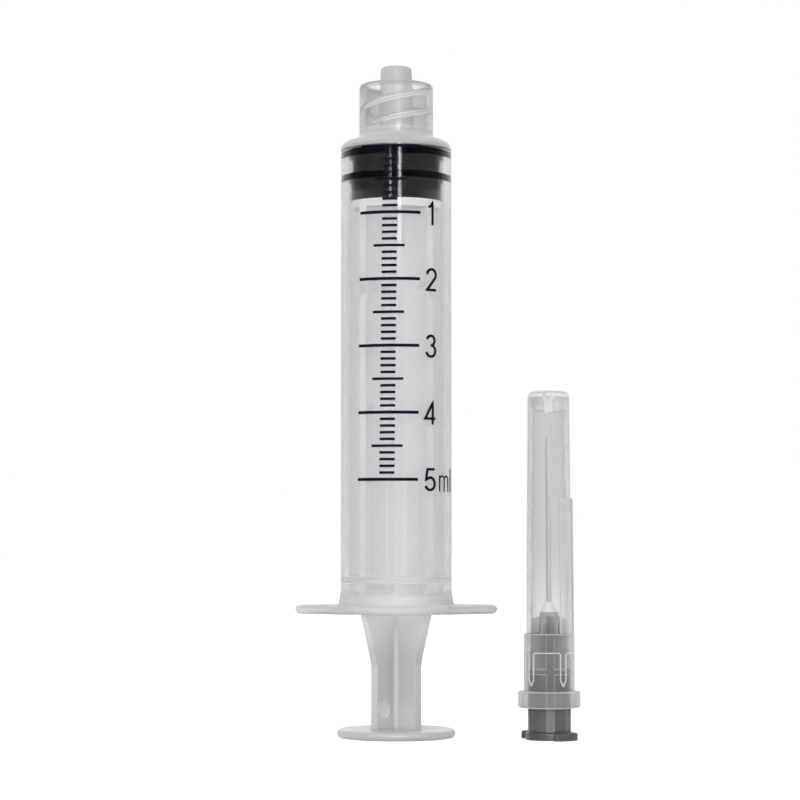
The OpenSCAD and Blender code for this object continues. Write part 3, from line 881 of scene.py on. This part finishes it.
@dataclass
class SheathBeads:
    """Painted highlights along the fine rounded edges inside and on the sheath, where they catch the
    light, and painted light over the web seen end-on.
    """

    inner: Pen = Pen(radius=2.72, width=0.13, proud=0.08, sunk=0.08, axis=NEEDLE_AXIS, longest=0.2)
    ledge_z: float = 10.9
    corner: float = 0.2
    spline_turns: tuple[float, ...] = (-145.0, -55.0, 35.0, 125.0)
    spline_half: float = 0.4
    spline_side_z: float = 7.5
    spline_point_z: float = 6.7
    # soft painted highlights on the step and on the collar's rims
    rims: tuple[tuple[str, float, float], ...] = (
        ("step_painted_highlight", 3.2, 13.23), ("collar_top_painted_highlight", 3.87, 6.02), ("collar_low_painted_highlight", 3.87, 4.08))
    web: Pen = Pen(radius=2.08, width=0.5, proud=0.04, sunk=0.04, axis=NEEDLE_AXIS, longest=0.2)
    # painted light: pale strokes over the web seen end-on, where it lies in shade
    web_lines: tuple[tuple[Point, ...], ...] = (
        ((-0.35, 41.0), (-0.4, 42.3), (-0.75, 43.5)), ((-0.4, 42.3), (0.45, 43.2)),
        ((0.12, 41.15), (0.12, 42.9)))
    bright: MilkyPlastic = MilkyPlastic("bead_painted_highlight", rise=ALL_HEIGHTS, through=0.0)
    soft: MilkyPlastic = MilkyPlastic("bead_soft_painted_highlight", high=(0.52, 0.525, 0.53), rise=ALL_HEIGHTS,
                                      through=0.0)
    pale: MilkyPlastic = MilkyPlastic("bead_pale_painted_light", high=(0.7, 0.705, 0.71), rise=ALL_HEIGHTS,
                                      through=0.0)

    def build(self) -> None:
        """Draws painted highlights on the ledge with the splines' outlines and on the outer rims, and the
        webs' pale Y of painted light.
        """
        bright, soft = self.bright.material(), self.soft.material()
        middles = [math.radians(turn) * self.inner.radius for turn in self.spline_turns]
        middles.append(middles[0] + math.tau * self.inner.radius)
        for index, (left, right) in enumerate(zip(middles, middles[1:]), start=1):
            outline = self._side(left, 1) + self._side(right, -1)[::-1]
            self.inner.draw(f"spline_painted_highlight_{index}", [outline], bright, Body.SHEATH, Slot.SHEATH)
        for name, radius, z in self.rims:
            pen = Pen(radius=radius, width=0.09, proud=0.03, sunk=0.06, axis=NEEDLE_AXIS, longest=0.2)
            around = [(-math.pi * radius, z), (math.pi * radius, z)]
            pen.draw(name, [around], soft, Body.SHEATH, Slot.SHEATH)
        self.web.draw("web_painted_light", self.web_lines, self.pale.material(), Body.SHEATH, Slot.SHEATH)

    def _side(self, middle: float, side: int) -> list[Point]:
        """One side of a spline's outline.

        Args:
            middle: the spline's middle, as arc from the front.
            side: its left (-1) or its right (1).

        Returns:
            The points from its tip up to the ledge.
        """
        edge = middle + side * self.spline_half
        return [(middle, self.spline_point_z), (edge, self.spline_side_z),
                (edge, self.ledge_z - self.corner), (edge + side * self.corner, self.ledge_z)]


@dataclass
class HubBeads:
    """Painted highlights along the edges of the hub's ribs and steps, where they catch the light."""

    rib_half: float = 0.45
    ribs: tuple[tuple[float, float, float], ...] = ((2.69, 1.1, 8.15), (2.32, 8.85, 13.1))
    steps: tuple[tuple[float, float], ...] = ((2.48, 8.2), (2.2, 8.86))
    # painted highlight, dimmer towards the hub's foot
    finish: MilkyPlastic = MilkyPlastic("hub_edge_painted_highlight", low=(0.36, 0.365, 0.37), rise=(3.6, 4.6),
                                        through=0.0)

    def build(self) -> None:
        """Draws the painted highlight along both edges of each rib, low and high, and along the two
        steps.
        """
        light = self.finish.material()
        for index, (radius, low, high) in enumerate(self.ribs, start=1):
            turns = [math.radians(90 * quarter) * radius for quarter in range(4)]
            sides = [turn + side * self.rib_half for turn in turns for side in (-1, 1)]
            lines = [[(side, low), (side, high)] for side in sides]
            self._pen(radius).draw(f"hub_rib_painted_highlights_{index}", lines, light, Body.NEEDLE, Slot.HUB)
        for index, (radius, z) in enumerate(self.steps, start=1):
            around = [(-math.pi * radius, z), (math.pi * radius, z)]
            self._pen(radius).draw(f"hub_step_painted_highlight_{index}", [around], light, Body.NEEDLE, Slot.HUB)

    @staticmethod
    def _pen(radius: float) -> Pen:
        """The pen for one wall of the hub."""
        return Pen(radius=radius, width=0.1, proud=0.03, sunk=0.06, axis=NEEDLE_AXIS, longest=0.2)


@dataclass
class SealContacts:
    """The bands where the stopper's two rings are squeezed against the barrel's wall, their rubber
    painted blacker and shine-free as shade.
    """

    outer_r: float = 6.168
    inner_r: float = 6.0
    bands: tuple[tuple[float, float], ...] = ((74.0, 74.92), (70.94, 71.87))
    bevel: float = 0.1
    sides: int = 96
    # painted shade: the real squeezed bands in rubber darker than the stopper's, without shine
    finish: Rubber = Rubber("seal_black_painted_shade", colour=(0.0003, 0.0003, 0.0005),
                            bloom=(0.0008, 0.0008, 0.001), shine=0.0)

    def build(self) -> None:
        """Models each band and lets it ride on the stopper."""
        black = self.finish.material()
        for index, (low, high) in enumerate(self.bands, start=1):
            deselect_all()
            bpy.ops.mesh.primitive_cylinder_add(
                vertices=self.sides, radius=self.outer_r * MM, depth=(high - low) * MM,
                location=(0.0, 0.0, (low + high) / 2 * MM), end_fill_type="NOTHING")
            band = bpy.context.object
            band.name = band.data.name = f"seal_contact_{index}"
            bpy.ops.object.transform_apply(location=True, rotation=True, scale=True)
            bpy.ops.object.mode_set(mode="EDIT")
            bpy.ops.mesh.select_all(action="SELECT")
            bpy.ops.mesh.normals_make_consistent(inside=False)
            bpy.ops.object.mode_set(mode="OBJECT")
            wall = band.modifiers.new("wall", "SOLIDIFY")
            wall.thickness = (self.outer_r - self.inner_r) * MM
            wall.offset = -1.0
            bpy.ops.object.modifier_apply(modifier=wall.name)
            round_edges(band, self.bevel)
            band.data.materials.append(black)
            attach(band, Body.STOPPER.value)
            LOG.info("%s: %d faces", band.name, len(band.data.polygons))


@dataclass
class MouldMark:
    """The round mark that the mould leaves near the foot of one rib of the rod, with its raised rim."""

    radius: float = 1.13
    reach: float = 2.73
    face: float = 0.55
    z: float = 3.6
    low: float = 0.11
    proud: float = 0.05
    rim: float = 0.17
    dish: float = 0.1
    bevel: float = 0.03
    turn: float = 45.0
    sides: int = 48
    # its grey carries the rod's painted foot shade
    finish: MilkyPlastic = MilkyPlastic("mark_light", high=(0.66, 0.66, 0.662), rise=ALL_HEIGHTS,
                                        through=0.0)

    def build(self) -> None:
        """Models the mark with its dished middle and lets it ride on the plunger."""
        deselect_all()
        depth = self.low + self.proud
        turn = math.radians(self.turn)
        out = self.face + self.proud - depth / 2
        middle = Vector((-self.reach * math.cos(turn) + out * math.sin(turn),
                         -self.reach * math.sin(turn) - out * math.cos(turn), self.z)) * MM
        bpy.ops.mesh.primitive_cylinder_add(
            vertices=self.sides, radius=self.radius * MM, depth=depth * MM, location=middle,
            rotation=(math.radians(90.0), 0.0, turn))
        mark = bpy.context.object
        mark.name = mark.data.name = "mould_mark"
        bpy.ops.object.mode_set(mode="EDIT")
        bpy.ops.mesh.select_mode(type="FACE")
        bpy.ops.mesh.select_all(action="DESELECT")
        bpy.ops.object.mode_set(mode="OBJECT")
        for face in mark.data.polygons:
            face.select = face.normal.z > 0.9
        bpy.ops.object.mode_set(mode="EDIT")
        bpy.ops.mesh.inset(thickness=self.rim * MM)
        inwards = Vector((-math.sin(turn), math.cos(turn), 0.0)) * self.dish * MM
        bpy.ops.mesh.extrude_region_move(TRANSFORM_OT_translate={"value": inwards})
        bpy.ops.object.mode_set(mode="OBJECT")
        bpy.ops.object.transform_apply(location=True, rotation=True, scale=True)
        round_edges(mark, self.bevel)
        mark.data.materials.append(self.finish.material())
        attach(mark, Body.PLUNGER.value)
        LOG.info("%s: %d faces", mark.name, len(mark.data.polygons))


# ---------------------------------------------------------------- sub-assemblies


@dataclass
class Syringe:
    """Barrel, scale, stopper and plunger rod."""

    barrel: ClearPlastic = ClearPlastic(
        "barrel_clear", wall=Glass(1.25, Spread(0.08, 0.05), 0.15),
        bore=Glass(1.25, Spread(0.2, 0.05), 1.0), head=Glass(1.25, Spread(0.2, 0.05), 0.3),
        # painted light and shade: the wall hazier below the stopper's heights and clearer over them
        patches=(Patch(0.07, height=(68.0, 66.0)), Patch(-0.08, height=(69.2, 69.7), top=(75.1, 74.95)),
                 Patch(0.45, height=(19.4, 19.7), top=(20.6, 20.3), reach=(6.25, 6.15),
                       colour=(0.8, 0.8, 0.8)),
                 Patch(0.45, height=(19.0, 16.8), colour=(0.79, 0.793, 0.796)),
                 Patch(0.1, height=(75.0, 76.0), colour=(0.6, 0.605, 0.61)),
                 Patch(0.5, height=(74.98, 75.2), top=(78.0, 77.4), colour=(0.72, 0.725, 0.73)),
                 Patch(0.3, height=(82.9, 83.1), colour=(0.45, 0.455, 0.46)),
                 # painted highlight: the thread ridges inside the lock collar turned whiter
                 Patch(0.4, height=(78.0, 78.3), top=(83.3, 83.1), reach=(3.95, 3.85),
                       colour=(0.95, 0.95, 0.95)),
                 Patch(1.0, height=(77.0, 78.0), reach=(2.6, 2.4), colour=(0.92, 0.925, 0.93)),
                 Patch(0.0, height=(83.6, 84.2), colour=(0.52, 0.525, 0.53))))
    # The rod's white is painted greyer towards its foot as shade, with painted highlights and shade in
    # its patches.
    rod: MilkyPlastic = MilkyPlastic("rod_milky", patches=(
        # painted shade: the rod inside the barrel darker below 31 mm
        Patch(1.0, height=(17.0, 19.0), top=(36.0, 31.0), colour=(0.9, 0.9, 0.9)),
        # painted highlight along the ribs' roots inside the barrel, a little less at the very middle
        Patch(1.0, height=(17.0, 19.0), reach=(2.55, 2.4), colour=WHITE),
        Patch(1.0, height=(17.0, 19.0), reach=(2.15, 2.0), colour=(0.93, 0.93, 0.93)),
        # painted highlight on the ribs' end faces inside the barrel
        Patch(1.0, height=(17.0, 19.0), reach=(5.2, 5.3), colour=WHITE),
        # painted light and shade: the rod just above the thumb rest held at a grey of 0.63
        Patch(1.0, height=(5.5, 2.8), top=(1.1, 1.6), colour=(0.63, 0.63, 0.632)),
        # painted light and shade: the ribs' roots below the flange held at a grey of 0.68
        Patch(0.7, height=(16.5, 14.5), top=(1.1, 1.6), reach=(1.3, 1.1), colour=(0.68, 0.68, 0.682)),
        # painted highlight on the ribs' end faces near the foot
        Patch(1.0, height=(9.6, 9.0), top=(1.1, 1.6), reach=(3.8, 3.88), colour=(0.64, 0.64, 0.642))))
    rubber: Rubber = Rubber("stopper_black")
    ink: PrintInk = PrintInk("scale_ink")
    numerals: Numerals = field(default_factory=Numerals)
    thread: ThreadBeads = field(default_factory=ThreadBeads)
    seals: SealContacts = field(default_factory=SealContacts)
    mark: MouldMark = field(default_factory=MouldMark)

    def build(self) -> None:
        """Dresses the nodes and adds the numerals, the painted highlights on the thread's edges, the
        seals and the mark.
        """
        dress("barrel", self.barrel)
        dress("graduation_marks", self.ink)
        dress("stopper", self.rubber)
        dress("plunger_rod", self.rod)
        self.numerals.build()
        self.thread.build()
        self.seals.build()
        self.mark.build()


@dataclass
class CappedNeedle:
    """Hub, cannula, adhesive and sheath."""

    hub: SmokyPlastic = SmokyPlastic("hub_smoky")
    cannula: DrawnSteel = DrawnSteel("cannula_steel")
    resin: SetResin = SetResin("needle_resin")
    sheath: ClearPlastic = ClearPlastic(
        "sheath_clear", wall=Glass(1.25, Spread(0.12, 0.05), 0.3), axis=NEEDLE_AXIS,
        tint=(0.785, 0.785, 0.786), milk=(0.724, 0.725, 0.727), clouds=0.06, rim=0.7,
        # painted edge shade at the sheath's grazing edges
        rim_colour=(0.56, 0.565, 0.57), streaks=0.12,
        patches=(Patch(0.1, height=(13.4, 13.1), colour=(0.4, 0.405, 0.41)),
                 Patch(0.15, height=(6.4, 6.1), reach=(3.2, 3.3), colour=(0.52, 0.525, 0.53)),
                 Patch(0.25, height=(13.2, 13.4), reach=(2.92, 3.0)),
                 Patch(0.85, height=(41.2, 41.6), reach=(2.1, 1.9), colour=(0.97, 0.97, 0.97)),
                 Patch(0.75, height=(43.3, 43.6), colour=(0.62, 0.62, 0.625))))
    beads: SheathBeads = field(default_factory=SheathBeads)
    hub_beads: HubBeads = field(default_factory=HubBeads)

    def build(self) -> None:
        """Dresses the nodes and adds the painted highlights on the edges of the sheath and the hub."""
        dress("needle_hub", self.hub)
        dress("cannula", self.cannula)
        dress("needle_adhesive", self.resin)
        dress("needle_sheath", self.sheath)
        self.beads.build()
        self.hub_beads.build()


@dataclass
class Lamp:
    """A soft rectangular lamp that faces the object."""

    name: str
    place: Colour
    size: tuple[float, float]
    power: float
    aim: Colour = (0.0, 0.0, 0.045)
    shine_only: bool = False

    def build(self) -> None:
        """Adds the lamp."""
        data = bpy.data.lights.new(self.name, "AREA")
        data.shape = "RECTANGLE"
        data.size, data.size_y = self.size
        data.energy = self.power
        lamp = bpy.data.objects.new(self.name, data)
        lamp.location = self.place
        lamp.rotation_euler = (Vector(self.aim) - Vector(self.place)).to_track_quat("-Z", "Y").to_euler()
        lamp.visible_camera = False
        lamp.visible_diffuse = not self.shine_only
        bpy.context.scene.collection.objects.link(lamp)


@dataclass
class Studio:
    """Camera, floor, lamps and the white surroundings."""

    camera_place: Colour = (0.000485, -0.3274, 0.02536)
    pitch_up: float = 3.08
    lens: float = 115.07
    sensor: float = 36.0
    floor_half: float = 3.0
    floor_drop: float = 0.02
    floor_grey: Colour = (0.85, 0.85, 0.85)
    floor_glow: float = 0.6
    ambient: float = 0.52
    clip: Point = (0.01, 20.0)

    def build(self) -> None:
        """Builds the studio."""
        self._camera()
        self._floor()
        self._world()
        for lamp in (Lamp("key", (-0.55, -0.7, 0.6), (0.9, 0.9), 5.6),
                     Lamp("fill", (0.75, -0.5, 0.3), (0.9, 0.9), 2.8),
                     Lamp("strip_right", (0.057, -0.445, 0.132), (0.045, 0.032), 1.45,
                          aim=(0.0, 0.0, 0.072), shine_only=True),
                     Lamp("strip_left", (-0.096, -0.445, 0.1265), (0.036, 0.021), 0.6,
                          aim=(0.0, 0.0, 0.07), shine_only=True),
                     Lamp("line", (0.108, -0.445, 0.05), (0.02, 0.09), 0.4, shine_only=True),
                     Lamp("back", (0.1, 0.7, 0.5), (0.9, 0.6), 2.2)):
            lamp.build()

    def _camera(self) -> None:
        """Adds the camera at the picture's angle."""
        data = bpy.data.cameras.new("camera")
        data.lens, data.sensor_width = self.lens, self.sensor
        data.clip_start, data.clip_end = self.clip
        camera = bpy.data.objects.new("camera", data)
        camera.location = self.camera_place
        camera.rotation_euler = (math.radians(90 + self.pitch_up), 0.0, 0.0)
        bpy.context.scene.collection.objects.link(camera)
        bpy.context.scene.camera = camera

    def _floor(self) -> None:
        """Adds the pale floor, which keeps the object's shadow."""
        deselect_all()
        bpy.ops.mesh.primitive_plane_add(size=2 * self.floor_half,
                                         location=(0.0, 0.0, -self.floor_drop * MM))
        floor = bpy.context.object
        floor.name = "floor"
        bench = ShaderBench("floor_pale")
        surface = bench.principled(Base_Color=(*self.floor_grey, 1.0), Roughness=0.9,
                                   Specular_IOR_Level=0.0, Emission_Strength=self.floor_glow,
                                   Emission_Color=bench.tinted(self._seen(bench), BLACK, WHITE))
        floor.data.materials.append(bench.finish(surface))

    @staticmethod
    def _seen(bench: ShaderBench) -> Signal:
        """Finds what is seen straight, in a reflection or through clear plastic.

        Args:
            bench: the workbench of the material or the world.

        Returns:
            A signal of 1 for what is seen so, else 0.
        """
        straight, mirrored, through = (bench.node("ShaderNodeLightPath", output=f"Is {ray} Ray")
                                       for ray in ("Camera", "Glossy", "Transmission"))
        return straight.at_least(mirrored).at_least(through)

    def _world(self) -> None:
        """White surroundings for what is seen, plain soft light for the rest."""
        world = bpy.data.worlds.new("surroundings")
        bpy.context.scene.world = world
        bench = ShaderBench("surroundings", world)
        strength = self.ambient + self._seen(bench) * (1.0 - self.ambient)
        shader = bench.node("ShaderNodeBackground", inputs={"Color": (*WHITE, 1.0), "Strength": strength})
        made = bench.tree.nodes.new("ShaderNodeOutputWorld")
        bench.tree.links.new(shader.socket, made.inputs["Surface"])


def main() -> None:
    """Builds everything in order."""
    logging.basicConfig(level=logging.INFO, format="%(name)s: %(message)s")
    bpy.context.scene.view_settings.view_transform = "Standard"
    Studio().build()
    Syringe().build()
    CappedNeedle().build()


if __name__ == "__main__":
    main()
